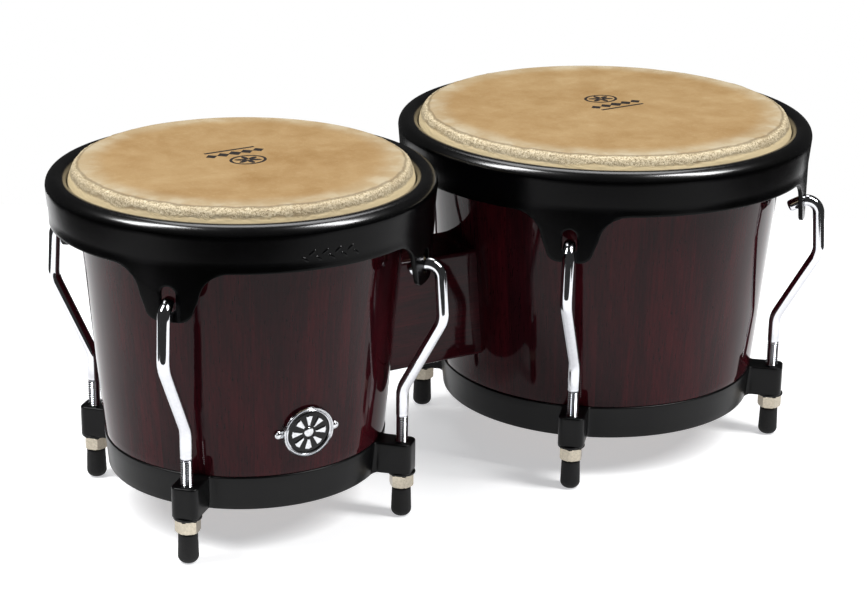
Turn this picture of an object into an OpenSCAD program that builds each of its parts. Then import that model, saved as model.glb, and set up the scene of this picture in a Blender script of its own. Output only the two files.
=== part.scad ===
// Pair of tunable bongo drums joined by a wooden centre block.
// Origin: middle of the footprint at floor level. +X runs from the small drum to the large
// drum, +Z is up. Heights are measured from the floor that the eight rubber feet stand on.

/* [Pair] */
// Distance between the two drum axes
axis_spacing = 218.5; // [216:0.5:240]
// Height of the playing surfaces
head_z = 181.4; // [181:0.1:182]
// Thickness of the drum shells
wall_t = 9; // [6:0.5:10]
// Shell radius gained per millimetre of height
taper = 0.09; // [0.08:0.002:0.1]

/* [Small drum] */
// Shell radius just above the bottom ring
small_shell_r = 71.6; // [71.2:0.1:72]
// Radius of the circle that the four tuning rods stand on
small_lug_r = 83.8; // [83.4:0.1:84.4]
// Widest radius of the rim
small_rim_r = 97.2; // [96.8:0.1:97.6]
// Radius where the skin meets the lip of the rim
small_collar_r = 86; // [85.8:0.1:86.1]
// Turn of the four bosses about the drum axis
small_lug_turn = -1.15; // [-5:0.05:5]
// Turn of the four rim ears about the drum axis
small_ear_turn = -2.85; // [-5:0.05:5]

/* [Large drum] */
// Shell radius just above the bottom ring
large_shell_r = 86.3; // [85.9:0.1:86.7]
// Radius of the circle that the four tuning rods stand on
large_lug_r = 98.4; // [98:0.1:99]
// Widest radius of the rim
large_rim_r = 111.9; // [111.6:0.1:112.3]
// Radius where the skin meets the lip of the rim
large_collar_r = 100.7; // [100.5:0.1:100.8]
// Turn of the four bosses about the drum axis
large_lug_turn = 3.5; // [-5:0.05:5]
// Turn of the four rim ears about the drum axis
large_ear_turn = 1.7; // [-5:0.05:5]

/* [Rims] */
// Thickness of the rim's steel
rim_t = 2.2; // [1.6:0.1:2.4]
// Height of the top of the rolled rim
rim_top_z = 176.2; // [176:0.1:176.6]
// Height of the lower edge of the band between the ears
band_z = 153; // [150:0.5:156]
// Height of the lower edge of an ear
ear_z = 128; // [127:0.1:129]
// Width of the slot that a rod hooks through
slot_w = 7.8; // [7.2:0.1:9]

/* [Tuning hardware] */
// Diameter of the quarter-inch tuning rods
rod_d = 6.35; // [6:0.05:6.5]
// Distance from the rod's lower axis out to its upper bend
rod_reach = 21.3; // [20.5:0.1:22]
// Nut size across the flats
nut_af = 11.1; // [10.5:0.1:12]
// Diameter of the rubber feet
foot_d = 10.4; // [9.5:0.1:11]
// Gap between pieces that move past each other face to face
face_gap = 0.3; // [0.3:0.05:0.5]

/* [Centre block] */
// Depth of the block from front to back
block_d = 35; // [28:0.5:50]
// Height of the underside of the block
block_z0 = 60; // [55:0.5:65]
// Height of the top of the block
block_z1 = 119.5; // [115:0.5:125]

/* [Badge] */
// Radius of the round badge
badge_r = 13.4; // [12.6:0.1:13.8]
// Height of the badge's centre
badge_z = 63; // [60:0.1:70]

/* [Hidden] */
$fn = 96;
SMALL = 0;
LARGE = 1;
RODS = [1, 2, 3, 4];

// Heights
ring_z0 = 23;
ring_z1 = 40.8;
boss_z0 = 24.6;
washer_t = 1.2;
nut_h = 7.1;
nut_z0 = boss_z0 - washer_t - face_gap - nut_h;
foot_h = nut_z0 - face_gap;
rod_z0 = 4;
block_bolt_z = [74, 105];

// Radii and offsets that both drums share
shell_r = [small_shell_r, large_shell_r];
lug_r = [small_lug_r, large_lug_r];
rim_r = [small_rim_r, large_rim_r];
collar_r = [small_collar_r, large_collar_r];
lug_turn = [small_lug_turn, large_lug_turn];
ear_turn = [small_ear_turn, large_ear_turn];
centre_shift = (small_rim_r - large_rim_r) / 2;
drum_x = [centre_shift - axis_spacing / 2, centre_shift + axis_spacing / 2];
rod_r = rod_d / 2;
fit_r = rod_r + 0.05;
clear_r = rod_r + 0.45;
bend_swell = 0.04;
bend_lap = 0.5;
skin_t = 1.2;
seat_gap = 0.1;
band_lean = 1.2;
boss_w = 13.8;
boss_reach = 6.1;
boss_corner = 3.5;
shoulder_r = 4;
relief_z = 166;
relief_t = 0.8;
collar_z = 172.6;
lip_z = 168.1;
roll_r = 5.4;
hoop_wire_r = 3.2;
hoop_offset = 1.9;
hoop_z = 163.2;
block_bolt_r = 3.1;
plate_t = 2.4;
pad_t = 4.4;
rod_aim = [-5.9, -8];
badge_turn = -92.2;
badge_border = 2.5;
badge_tab_x = 15;

// Points along a circular arc
function arc(c, r, a0, a1, n) = [
    for (i = [0 : n])
        let (a = a0 + (a1 - a0) * i / n)
        [c[0] + r * cos(a), c[1] + r * sin(a)]
];

// Outer radius of drum d's shell at height z
function shell_at(d, z) = shell_r[d] + taper * (z - ring_z1);

// Directions of boss and ear k, counted anticlockwise from the front left
function lug_angle(d, k) = -225 + 90 * k + lug_turn[d];
function ear_angle(d, k) = -225 + 90 * k + ear_turn[d];

// Place on drum d, and on the rod axis of its boss k facing away from the drum
module on_drum(d) {
    translate([drum_x[d], 0, 0])
        children();
}

module on_lug(d, k) {
    on_drum(d)
        rotate([0, 0, lug_angle(d, k)])
            translate([lug_r[d], 0, 0])
                children();
}

// Solid cone that follows drum d's shell, its surface offset outwards by grow
module shell_cone(d, grow, z0, z1) {
    translate([0, 0, z0])
        cylinder(h = z1 - z0, r1 = shell_at(d, z0) + grow, r2 = shell_at(d, z1) + grow);
}

// Centre of the rounding of drum d's bearing edge
function bearing_c(d) =
    let (z = head_z - skin_t - seat_gap - shoulder_r)
    [shell_at(d, z) - relief_t - shoulder_r, z];

// Tapered stave shell with a rounded bearing edge and a rebate for the bottom ring
module shell(d) {
    top = head_z - skin_t - seat_gap;
    round_c = bearing_c(d);
    foot_z = ring_z0 + 2.6 + seat_gap;
    rebate_r = shell_r[d] - 3.6 - seat_gap;
    profile = concat(
        [[shell_at(d, foot_z) - wall_t, foot_z], [rebate_r, foot_z], [rebate_r, ring_z1 + seat_gap],
         [shell_at(d, ring_z1 + seat_gap), ring_z1 + seat_gap], [shell_at(d, relief_z), relief_z]],
        arc(round_c, shoulder_r, 0, 90, 8),
        [[round_c[0] - 1, top], [shell_at(d, top - 5) - wall_t, top - 5]]
    );
    color("#2a0d10")
        difference() {
            on_drum(d)
                rotate_extrude()
                    polygon(profile);
            block_bolt_bores();
            if (d == SMALL)
                badge_pin_bores();
        }
}

// Cast ring under the shell with four bosses for the tuning rods
module bottom_ring(d) {
    seat_r = shell_r[d] - 3.6;
    flange_z = ring_z0 + 2.6;
    profile = [
        [shell_r[d] - 11, ring_z0], [shell_r[d] - 1.9, ring_z0], [shell_r[d] - 1.2, ring_z0 + 0.7],
        [shell_r[d] + 0.5, ring_z1 - 0.6], [shell_r[d], ring_z1], [seat_r, ring_z1],
        [seat_r, flange_z], [shell_r[d] - 11, flange_z]
    ];
    color("#111214") {
        difference() {
            union() {
                on_drum(d)
                    rotate_extrude()
                        polygon(profile);
                for (k = RODS)
                    on_lug(d, k)
                        boss(lug_r[d] - shell_r[d]);
            }
            for (k = RODS)
                on_lug(d, k)
                    translate([0, 0, ring_z0 - 1])
                        cylinder(h = ring_z1, r = clear_r);
            on_drum(d)
                translate([0, 0, flange_z])
                    cylinder(h = ring_z1, r = seat_r);
        }
    }
}

// Boss with rounded outer corners, joined to the ring by a straight web
module boss(web) {
    half_w = boss_w / 2;
    corner_x = boss_reach - boss_corner;
    corner_y = half_w - boss_corner;
    translate([0, 0, boss_z0])
        linear_extrude(ring_z1 - boss_z0) {
            translate([-web - 1, -half_w])
                square([web + 1 + corner_x, boss_w]);
            translate([corner_x - 1, -corner_y])
                square([boss_corner + 1, 2 * corner_y]);
            for (side = [-1, 1])
                translate([corner_x, side * corner_y])
                    circle(r = boss_corner);
        }
}

// Pressed steel rim: a rolled top, a leaning band and four slotted ears
module rim(d) {
    roll_c = [rim_r[d] - roll_r, rim_top_z - roll_r];
    lip_r = roll_c[0] - roll_r;
    ear_out = rim_r[d] - band_lean;
    lean_z = band_z + 4;
    profile = concat(
        [[ear_out - rim_t, lean_z], [ear_out - rim_t, ear_z], [ear_out, ear_z], [ear_out, lean_z]],
        arc(roll_c, roll_r, 0, 180, 16),
        [[lip_r, lip_z], [lip_r + rim_t, lip_z]],
        arc(roll_c, roll_r - rim_t, 180, 0, 12)
    );
    color("#101113")
        on_drum(d)
            difference() {
                rotate_extrude()
                    polygon(profile);
                difference() {
                    translate([0, 0, ear_z - 2])
                        cylinder(h = band_z - ear_z + 2, r = rim_r[d] + 3);
                    translate([0, 0, ear_z - 3])
                        cylinder(h = band_z - ear_z + 4, r = rim_r[d] - 8);
                    for (k = RODS)
                        ear_prism(d, k);
                }
                for (k = RODS)
                    ear_slot(d, k);
            }
}

// Outline of an ear, pushed out through the band
module ear_prism(d, k) {
    corner = 6.8;
    sweep = 14.8;
    edge = 29.5;
    half = concat(
        arc([5.5, ear_z + corner], corner, -84, -10, 6),
        arc([edge, band_z - sweep], sweep, 172, 96, 9),
        [[edge + 6.5, band_z + 0.8]]
    );
    other = [for (i = [len(half) - 1 : -1 : 0]) [-half[i][0], half[i][1]]];
    rotate([0, 0, ear_angle(d, k)])
        rotate([90, 0, 90])
            translate([0, 0, rim_r[d] * 0.7])
                linear_extrude(rim_r[d] * 0.4)
                    polygon(concat([[0, ear_z - 0.15]], half, other));
}

// Upright slot that the rod's hook passes through
module ear_slot(d, k) {
    slot_r = slot_w / 2;
    low = 132.3 + slot_r;
    high = 145.4 - slot_r;
    rotate([0, 0, ear_angle(d, k)])
        translate([rim_r[d] * 0.8, 0, 0])
            rotate([90, 0, 90])
                linear_extrude(rim_r[d] * 0.3)
                    polygon(concat(arc([0, low], slot_r, -180, 0, 12), arc([0, high], slot_r, 0, 180, 12)));
}

// Steel wire hoop that the skin is lapped round
module flesh_hoop(d) {
    color("#8c8f93")
        on_drum(d)
            rotate_extrude()
                translate([collar_r[d] + hoop_offset, hoop_z])
                    circle(r = hoop_wire_r);
}

// Rawhide head: flat skin, shoulder over the bearing edge, and the lap round the hoop
module head(d) {
    round_c = bearing_c(d);
    over_r = shoulder_r + seat_gap;
    hoop_r = collar_r[d] + hoop_offset;
    lap_r = hoop_wire_r + skin_t + 0.1;
    profile = concat(
        [[0, head_z], [round_c[0], head_z]],
        arc(round_c, over_r + skin_t, 85, 25, 7),
        [[collar_r[d], collar_z], [collar_r[d], lip_z - 0.2]],
        arc([hoop_r, hoop_z], lap_r, 100, -180, 24),
        arc(round_c, over_r, 0, 90, 8),
        [[0, round_c[1] + over_r]]
    );
    color("#cfa76a")
        on_drum(d)
            difference() {
                rotate_extrude()
                    polygon(profile);
                rotate_extrude()
                    translate([hoop_r, hoop_z])
                        circle(r = hoop_wire_r + 0.05);
            }
}

// Straight stretch of a rod that starts at the origin and runs a little way into the bends
module straight(length, before, after) {
    translate([0, 0, -before])
        cylinder(h = length + before + after, r = rod_r);
}

// Bend of a rod that starts at the origin going up and turns by ang towards +X
module elbow_out(bend_r, ang) {
    translate([bend_r, 0, 0])
        mirror([1, 0, 0])
            rotate([90, 0, 0])
                rotate_extrude(angle = ang)
                    translate([bend_r, 0])
                        circle(r = rod_r + bend_swell);
}

module after_out(bend_r, ang) {
    translate([bend_r * (1 - cos(ang)), 0, bend_r * sin(ang)])
        rotate([0, ang, 0])
            children();
}

// The same bend turning towards -X
module elbow_in(bend_r, ang) {
    mirror([1, 0, 0])
        elbow_out(bend_r, ang);
}

module after_in(bend_r, ang) {
    translate([-bend_r * (1 - cos(ang)), 0, bend_r * sin(ang)])
        rotate([0, -ang, 0])
            children();
}

// Hooked tuning rod: threaded foot, double bend outwards, and the hook over the ear's slot
module rod(d, k) {
    low_z = 69;
    high_z = 108.5;
    bend_r = 14;
    tilt = 4;
    hook_r = 6.8;
    hook_z = 131.1;
    hook_turn = 118 - tilt;
    tail = 7;
    lean = atan2(rod_reach, high_z - low_z);
    low_cut = bend_r * tan(lean / 2);
    high_cut = bend_r * tan((lean + tilt) / 2);
    slant = norm([rod_reach, high_z - low_z]) - low_cut - high_cut;
    upright = (hook_z - high_z) / cos(tilt) - high_cut;
    // The ears are turned a little from the bosses, so the rod leans sideways by aim and its
    // hook turns back from there to face the slot
    aim = rod_aim[d];
    top_reach = rod_reach - (hook_z - high_z) * tan(tilt);
    slot_r = rim_r[d] - band_lean - rim_t / 2;
    off = ear_angle(d, k) - lug_angle(d, k);
    dx = lug_r[d] + top_reach * cos(aim) - slot_r * cos(off);
    dy = top_reach * sin(aim) - slot_r * sin(off);
    color("#d9dcdf")
        on_lug(d, k)
            rotate([0, 0, aim]) {
                translate([0, 0, rod_z0])
                    straight(low_z - low_cut - rod_z0, 0, bend_lap);
                translate([0, 0, low_z - low_cut]) {
                    elbow_out(bend_r, lean);
                    after_out(bend_r, lean) {
                        straight(slant, bend_lap, bend_lap);
                        translate([0, 0, slant]) {
                            elbow_in(bend_r, lean + tilt);
                            after_in(bend_r, lean + tilt) {
                                straight(upright, bend_lap, bend_lap);
                                translate([0, 0, upright])
                                    rotate([0, 0, atan2(dy, dx) - aim]) {
                                        elbow_in(hook_r, hook_turn);
                                        after_in(hook_r, hook_turn)
                                            straight(tail, bend_lap, 0);
                                    }
                            }
                        }
                    }
                }
            }
}

// Four flat washers under the bosses
module washers(d) {
    color("#15161a")
        for (k = RODS)
            on_lug(d, k)
                translate([0, 0, boss_z0 - washer_t])
                    difference() {
                        cylinder(h = washer_t, r = 7.1);
                        translate([0, 0, -1])
                            cylinder(h = washer_t + 2, r = clear_r);
                    }
}

// Tall hex nut with its lower corners chamfered
module nut(d, k) {
    corner_r = nut_af / 2 / cos(30);
    color("#cfc7b4")
        on_lug(d, k)
            translate([0, 0, nut_z0])
                difference() {
                    intersection() {
                        cylinder(h = nut_h, r = corner_r, $fn = 6);
                        cylinder(h = nut_h, r1 = nut_af / 2 - 0.2, r2 = nut_af / 2 + nut_h);
                    }
                    translate([0, 0, -1])
                        cylinder(h = nut_h + 2, r = fit_r);
                }
}

// Rubber foot with a rounded tip and a blind bore for the rod's end
module foot(d, k) {
    tip = 3.6;
    r = foot_d / 2;
    profile = concat(
        [[0, 0], [r - tip + 0.6, 0]],
        arc([r - tip, tip], tip, -60, 0, 8),
        [[r - 0.4, foot_h], [0, foot_h]]
    );
    color("#17181a")
        on_lug(d, k)
            difference() {
                rotate_extrude()
                    polygon(profile);
                translate([0, 0, rod_z0 - 0.6])
                    cylinder(h = foot_h, r = fit_r);
            }
}

// Bores for the two bolts that run through the shells, the plates and the block
module block_bolt_bores() {
    for (z = block_bolt_z)
        translate([drum_x[SMALL], 0, z])
            rotate([0, 90, 0])
                cylinder(h = axis_spacing, r = block_bolt_r + 0.2);
}

// Wooden block with its ends hollowed to fit the shells
module centre_block() {
    chamfer = 1.5;
    y = block_d / 2;
    section = [
        [-y, block_z0 + chamfer], [-y + chamfer, block_z0], [y - chamfer, block_z0],
        [y, block_z0 + chamfer], [y, block_z1 - chamfer], [y - chamfer, block_z1],
        [-y + chamfer, block_z1], [-y, block_z1 - chamfer]
    ];
    color("#250b0e")
        difference() {
            translate([drum_x[SMALL], 0, 0])
                rotate([90, 0, 90])
                    linear_extrude(axis_spacing)
                        polygon(section);
            for (d = [SMALL, LARGE])
                on_drum(d)
                    shell_cone(d, seat_gap, block_z0 - 5, block_z1 + 5);
            block_bolt_bores();
        }
}

// Curved steel plate inside a shell, with a flat pad for each bolt
module backing_plate(d) {
    side = d == SMALL ? 1 : -1;
    width = 28;
    z0 = block_bolt_z[0] - 11;
    z1 = block_bolt_z[1] + 11;
    color("#9a9da1")
        difference() {
            on_drum(d)
                intersection() {
                    shell_cone(d, -wall_t - seat_gap, z0, z1);
                    union() {
                        difference() {
                            translate([side > 0 ? 0 : -shell_r[d] * 1.2, -width / 2, z0])
                                cube([shell_r[d] * 1.2, width, z1 - z0]);
                            shell_cone(d, -wall_t - plate_t, z0 - 1, z1 + 1);
                        }
                        for (z = block_bolt_z)
                            translate([side * pad_face(d, z), 0, z])
                                rotate([0, side * 90, 0])
                                    cylinder(h = 12, r = 8);
                    }
                }
            block_bolt_bores();
        }
}

// Distance from drum d's axis to the flat of its backing plate at bolt height z
function pad_face(d, z) = shell_at(d, z) - wall_t - pad_t;

// Two carriage bolts, their heads inside the large drum
module block_bolts() {
    head_r = 7;
    dome_r = 9;
    head_h = 3.6;
    color("#a3a6aa")
        for (z = block_bolt_z) {
            start = drum_x[SMALL] + pad_face(SMALL, z) - 9;
            stop = drum_x[LARGE] - pad_face(LARGE, z);
            translate([start, 0, z])
                rotate([0, 90, 0])
                    cylinder(h = stop - start, r = block_bolt_r);
            translate([stop, 0, z])
                rotate([0, 90, 0])
                    intersection() {
                        cylinder(h = head_h, r = head_r);
                        translate([0, 0, head_h - dome_r])
                            sphere(r = dome_r);
                    }
        }
}

// Hex nuts that draw the bolts tight inside the small drum
module block_bolt_nuts() {
    color("#b6b29f")
        for (z = block_bolt_z)
            translate([drum_x[SMALL] + pad_face(SMALL, z) - 5.6, 0, z])
                rotate([0, 90, 0])
                    difference() {
                        cylinder(h = 5.6, r = nut_af / 2 / cos(30), $fn = 6);
                        translate([0, 0, -1])
                            cylinder(h = 8, r = block_bolt_r);
                    }
}

// Flat frame of the badge: its centre on the small shell, +Z facing straight out of it
module at_badge() {
    on_drum(SMALL)
        rotate([0, 0, badge_turn])
            translate([shell_at(SMALL, badge_z), 0, badge_z])
                rotate([0, atan(taper), 0])
                    rotate([90, 0, 90])
                        children();
}

// Chromed badge body: a flat disc with a raised border, two nailing tabs, and a hollowed back
module badge_plate() {
    tabs = concat(arc([badge_tab_x, 0], 2.1, -80, 80, 10), arc([-badge_tab_x, 0], 2.1, 100, 260, 10));
    color("#c9ccd0")
        difference() {
            at_badge() {
                rotate_extrude()
                    polygon([
                        [0, -4], [badge_r, -4], [badge_r, 2.2], [badge_r - badge_border, 2.2],
                        [badge_r - badge_border, 0.9], [0, 0.9]
                    ]);
                translate([0, 0, -3.8])
                    linear_extrude(3.3)
                        polygon(tabs);
            }
            on_drum(SMALL)
                shell_cone(SMALL, seat_gap, badge_z - 25, badge_z + 25, $fn = 480);
            badge_pin_bores();
        }
}

// Black enamel field inside the border
module badge_enamel() {
    color("#0b0b0d")
        at_badge()
            translate([0, 0, 0.9])
                cylinder(h = 0.5, r = badge_r - badge_border - 0.1);
}

// Plain eight-rayed rosette on the enamel
module badge_emblem() {
    rays = 8;
    color("#d5d8db")
        at_badge()
            translate([0, 0, 1.4])
                linear_extrude(0.5) {
                    circle(r = 2.6);
                    for (i = [0 : rays - 1])
                        rotate(360 / rays * i)
                            polygon([[3.6, -0.6], [3.6, 0.6], [8.8, 1.8], [8.8, -1.8]]);
                }
}

// Bores for the two badge pins
module badge_pin_bores() {
    at_badge()
        for (side = [-1, 1])
            translate([side * badge_tab_x, 0, -6.5])
                cylinder(h = 12, r = 0.85, $fn = 32);
}

// Two round-headed pins that hold the badge
module badge_pins() {
    color("#c4c7cb")
        at_badge()
            for (side = [-1, 1])
                translate([side * badge_tab_x, 0, -0.45]) {
                    translate([0, 0, -5.5])
                        cylinder(h = 5.6, r = 0.8, $fn = 32);
                    intersection() {
                        cylinder(h = 1, r = 1.5, $fn = 32);
                        translate([0, 0, -1])
                            sphere(r = 1.9, $fn = 32);
                    }
                }
}

shell(SMALL);  // small_shell
bottom_ring(SMALL);  // small_bottom_ring
rim(SMALL);  // small_rim
flesh_hoop(SMALL);  // small_flesh_hoop
head(SMALL);  // small_head
washers(SMALL);  // small_washers
rod(SMALL, 1);  // small_rod_1
rod(SMALL, 2);  // small_rod_2
rod(SMALL, 3);  // small_rod_3
rod(SMALL, 4);  // small_rod_4
nut(SMALL, 1);  // small_nut_1
nut(SMALL, 2);  // small_nut_2
nut(SMALL, 3);  // small_nut_3
nut(SMALL, 4);  // small_nut_4
foot(SMALL, 1);  // small_foot_1
foot(SMALL, 2);  // small_foot_2
foot(SMALL, 3);  // small_foot_3
foot(SMALL, 4);  // small_foot_4
shell(LARGE);  // large_shell
bottom_ring(LARGE);  // large_bottom_ring
rim(LARGE);  // large_rim
flesh_hoop(LARGE);  // large_flesh_hoop
head(LARGE);  // large_head
washers(LARGE);  // large_washers
rod(LARGE, 1);  // large_rod_1
rod(LARGE, 2);  // large_rod_2
rod(LARGE, 3);  // large_rod_3
rod(LARGE, 4);  // large_rod_4
nut(LARGE, 1);  // large_nut_1
nut(LARGE, 2);  // large_nut_2
nut(LARGE, 3);  // large_nut_3
nut(LARGE, 4);  // large_nut_4
foot(LARGE, 1);  // large_foot_1
foot(LARGE, 2);  // large_foot_2
foot(LARGE, 3);  // large_foot_3
foot(LARGE, 4);  // large_foot_4
centre_block();
backing_plate(SMALL);  // small_backing_plate
backing_plate(LARGE);  // large_backing_plate
block_bolts();
block_bolt_nuts();
badge_plate();
badge_enamel();
badge_emblem();
badge_pins();
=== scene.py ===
"""Looks of the pair of bongo drums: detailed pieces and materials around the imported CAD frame."""

import math

import bmesh
import bpy
import numpy as np
from mathutils import Matrix, Vector, noise


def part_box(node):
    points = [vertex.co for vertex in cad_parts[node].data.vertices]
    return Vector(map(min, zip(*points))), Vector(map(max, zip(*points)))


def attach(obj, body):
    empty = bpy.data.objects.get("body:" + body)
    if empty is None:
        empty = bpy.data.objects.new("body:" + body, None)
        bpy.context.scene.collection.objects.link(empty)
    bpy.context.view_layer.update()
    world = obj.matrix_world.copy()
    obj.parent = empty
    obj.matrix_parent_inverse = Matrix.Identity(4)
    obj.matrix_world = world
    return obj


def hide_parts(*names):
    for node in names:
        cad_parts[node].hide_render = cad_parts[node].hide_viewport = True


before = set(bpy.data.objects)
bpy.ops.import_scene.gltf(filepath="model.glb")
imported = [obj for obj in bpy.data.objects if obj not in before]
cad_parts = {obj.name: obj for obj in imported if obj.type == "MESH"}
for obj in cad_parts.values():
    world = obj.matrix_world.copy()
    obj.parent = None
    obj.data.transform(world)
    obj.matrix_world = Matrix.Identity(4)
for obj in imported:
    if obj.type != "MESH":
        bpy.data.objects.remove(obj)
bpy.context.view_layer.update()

MM = 0.001

# ------------------------------------------------------------------ sizes, in millimetres
HEAD_Z = 181.4
RIM_TOP, ROLL_R, LIP_Z = 176.2, 5.4, 168.1
RING_Z0, RING_Z1 = 23.0, 40.8
FLANGE_T, RING_WALL_T, FLANGE_REACH = 2.6, 3.6, 11
BOSS_Z0 = 24.6
WASHER_T = 1.2
NUT_Z0, NUT_H, NUT_AF = 16.0, 7.1, 11.1
FOOT_H = 15.7
ROD_R = 3.175
ROD_Z0, THREAD_Z1, TIP_R = 4.0, 56.0, 1.6
PITCH = 1.27
CLEAR_R = ROD_R + 0.45
BORE_R = ROD_R + 0.05
WALL_T = 9.0
TAPER = 0.09
SKIN_T = 1.2
SEAT_GAP = 0.1
SHOULDER_R = 4.0
RELIEF_Z, RELIEF_T = 166.0, 0.8
COLLAR_Z = 172.6
HOOP_OFFSET, HOOP_Z, LAP_R = 1.9, 163.2, 4.5
RIM_T, RIM_LEAN = 2.2, 1.2
BAND_Z, LEAN_Z, EAR_Z = 153.0, 157.0, 128.0
BLOCK_Z0, BLOCK_Z1, BLOCK_Y = 60.0, 119.5, 17.5
BADGE_Z, BADGE_R, BADGE_TURN, BADGE_BORDER, TAB_X = 63.0, 13.4, -92.2, 2.5, 15.0
RODS = (1, 2, 3, 4)


def centre_x(node):
    low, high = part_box(node)
    return (low.x + high.x) / 2 / MM


class Drum:
    """Measures of one drum, in millimetres and degrees."""

    def __init__(self, name, shell_r, lug_r, rim_r, collar_r, lug_turn, ear_turn, rod_aim):
        self.name = name
        self.x = centre_x(name + "_head")
        self.shell_r = shell_r
        self.lug_r = lug_r
        self.rim_r = rim_r
        self.collar_r = collar_r
        self.lug_turn = lug_turn
        self.ear_turn = ear_turn
        self.rod_aim = math.radians(rod_aim)
        z = HEAD_Z - SKIN_T - SEAT_GAP - SHOULDER_R
        self.bearing_c = (self.shell_at(z) - RELIEF_T - SHOULDER_R, z)

    def shell_at(self, z):
        return self.shell_r + TAPER * (z - RING_Z1)

    def lug_angle(self, k):
        return math.radians(-225 + 90 * k + self.lug_turn)

    def ear_angle(self, k):
        return math.radians(-225 + 90 * k + self.ear_turn)

    def lug(self, k):
        a = self.lug_angle(k)
        return np.array((self.x + self.lug_r * math.cos(a), self.lug_r * math.sin(a), 0.0))


SMALL = Drum("small", shell_r=71.6, lug_r=83.8, rim_r=97.2, collar_r=86.0,
             lug_turn=-1.15, ear_turn=-2.85, rod_aim=-5.9)
LARGE = Drum("large", shell_r=86.3, lug_r=98.4, rim_r=111.9, collar_r=100.7,
             lug_turn=3.5, ear_turn=1.7, rod_aim=-8.0)
DRUMS = (SMALL, LARGE)


# ------------------------------------------------------------------ mesh helpers
def arc(c, r, a0, a1, n):
    """Points of a circular arc, angles in degrees."""
    t = np.radians(np.linspace(a0, a1, n + 1))
    return [(c[0] + r * math.cos(a), c[1] + r * math.sin(a)) for a in t]


def rounded(corners, steps=3):
    """Closed outline through corners (x, y, radius), each rounded by its radius."""
    out = []
    n = len(corners)
    for i, (x, y, r) in enumerate(corners):
        p = np.array((x, y), float)
        if r <= 0:
            out.append(tuple(p))
            continue
        a = np.array(corners[i - 1][:2], float) - p
        b = np.array(corners[(i + 1) % n][:2], float) - p
        a /= np.linalg.norm(a)
        b /= np.linalg.norm(b)
        half = 0.5 * math.acos(float(np.clip(a @ b, -1, 1)))
        if math.pi / 2 - half < 1e-3:
            out.append(tuple(p))
            continue
        c = p + (a + b) / np.linalg.norm(a + b) * r / math.sin(half)
        p0 = p + a * r / math.tan(half) - c
        p1 = p + b * r / math.tan(half) - c
        t0 = math.atan2(p0[1], p0[0])
        turn = (math.atan2(p1[1], p1[0]) - t0 + math.pi) % (2 * math.pi) - math.pi
        for j in range(steps + 1):
            t = t0 + turn * j / steps
            out.append((c[0] + r * math.cos(t), c[1] + r * math.sin(t)))
    return out


def grid(points, wrap_u=False, wrap_v=False):
    """Vertices and quads of a (U, V, 3) grid of points."""
    points = np.asarray(points, float)
    nu, nv = points.shape[:2]
    faces = []
    for i in range(nu if wrap_u else nu - 1):
        for j in range(nv if wrap_v else nv - 1):
            a, b = (i + 1) % nu, (j + 1) % nv
            faces.append((i * nv + j, a * nv + j, a * nv + b, i * nv + b))
    return points.reshape(-1, 3), faces


def joined(*parts):
    """Several (vertices, faces) as one."""
    verts, faces, start = [], [], 0
    for v, f in parts:
        verts.append(np.asarray(v, float))
        faces += [tuple(i + start for i in face) for face in f]
        start += len(v)
    return np.concatenate(verts), faces


def revolved(profile, segments, centre=(0.0, 0.0)):
    """Closed profile of (radius, height) turned about a vertical axis."""
    prof = np.array(profile, float)
    t = np.linspace(0, 2 * math.pi, segments, endpoint=False)
    pts = np.empty((segments, len(prof), 3))
    pts[..., 0] = centre[0] + np.outer(np.cos(t), prof[:, 0])
    pts[..., 1] = centre[1] + np.outer(np.sin(t), prof[:, 0])
    pts[..., 2] = prof[:, 1]
    return grid(pts, True, True)


def make(name, mesh, material, sharp=35, weld=1e-6):
    """A mesh object from (vertices in mm, faces), its normals outward and its hard edges sharp."""
    verts, faces = mesh
    me = bpy.data.meshes.new(name)
    me.from_pydata((np.asarray(verts) * MM).tolist(), [], faces)
    bm = bmesh.new()
    bm.from_mesh(me)
    bmesh.ops.remove_doubles(bm, verts=bm.verts, dist=weld)
    bmesh.ops.dissolve_degenerate(bm, edges=bm.edges, dist=weld)
    bmesh.ops.recalc_face_normals(bm, faces=bm.faces)
    bm.to_mesh(me)
    bm.free()
    me.materials.append(material)
    ob = bpy.data.objects.new(name, me)
    bpy.context.scene.collection.objects.link(ob)
    shade(ob, sharp)
    return ob


def shade(ob, sharp):
    me = ob.data
    me.polygons.foreach_set("use_smooth", [True] * len(me.polygons))
    me.set_sharp_from_angle(angle=math.radians(sharp))


def apply_modifiers(ob):
    bpy.context.view_layer.objects.active = ob
    for m in list(ob.modifiers):
        bpy.ops.object.modifier_apply(modifier=m.name)


def bevel(ob, width, segments, angle):
    m = ob.modifiers.new("bevel", "BEVEL")
    m.width = width * MM
    m.segments = segments
    m.limit_method = "ANGLE"
    m.angle_limit = math.radians(angle)
    m.miter_outer = "MITER_ARC"
    apply_modifiers(ob)


def cut(ob, cutters):
    """Cuts (vertices, faces) solids out of ob."""
    tool = make("cutter", joined(*cutters), ob.data.materials[0])
    m = ob.modifiers.new("cut", "BOOLEAN")
    m.operation = "DIFFERENCE"
    m.solver = "EXACT"
    m.object = tool
    apply_modifiers(ob)
    bpy.data.objects.remove(tool)


def rod_solid(start, end, r, n=40):
    """A plain round bar between two points, used as a cutter."""
    a, b = np.array(start, float), np.array(end, float)
    d = (b - a) / np.linalg.norm(b - a)
    u = np.cross(d, (0, 0, 1) if abs(d[2]) < 0.9 else (1, 0, 0))
    u /= np.linalg.norm(u)
    v = np.cross(d, u)
    t = np.linspace(0, 2 * math.pi, n, endpoint=False)
    ring = r * (np.outer(np.cos(t), u) + np.outer(np.sin(t), v))
    pts = np.stack([a + ring, b + ring])
    verts, faces = grid(pts, False, True)
    faces += [tuple(range(n)), tuple(range(2 * n - 1, n - 1, -1))]
    return verts, faces


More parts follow.
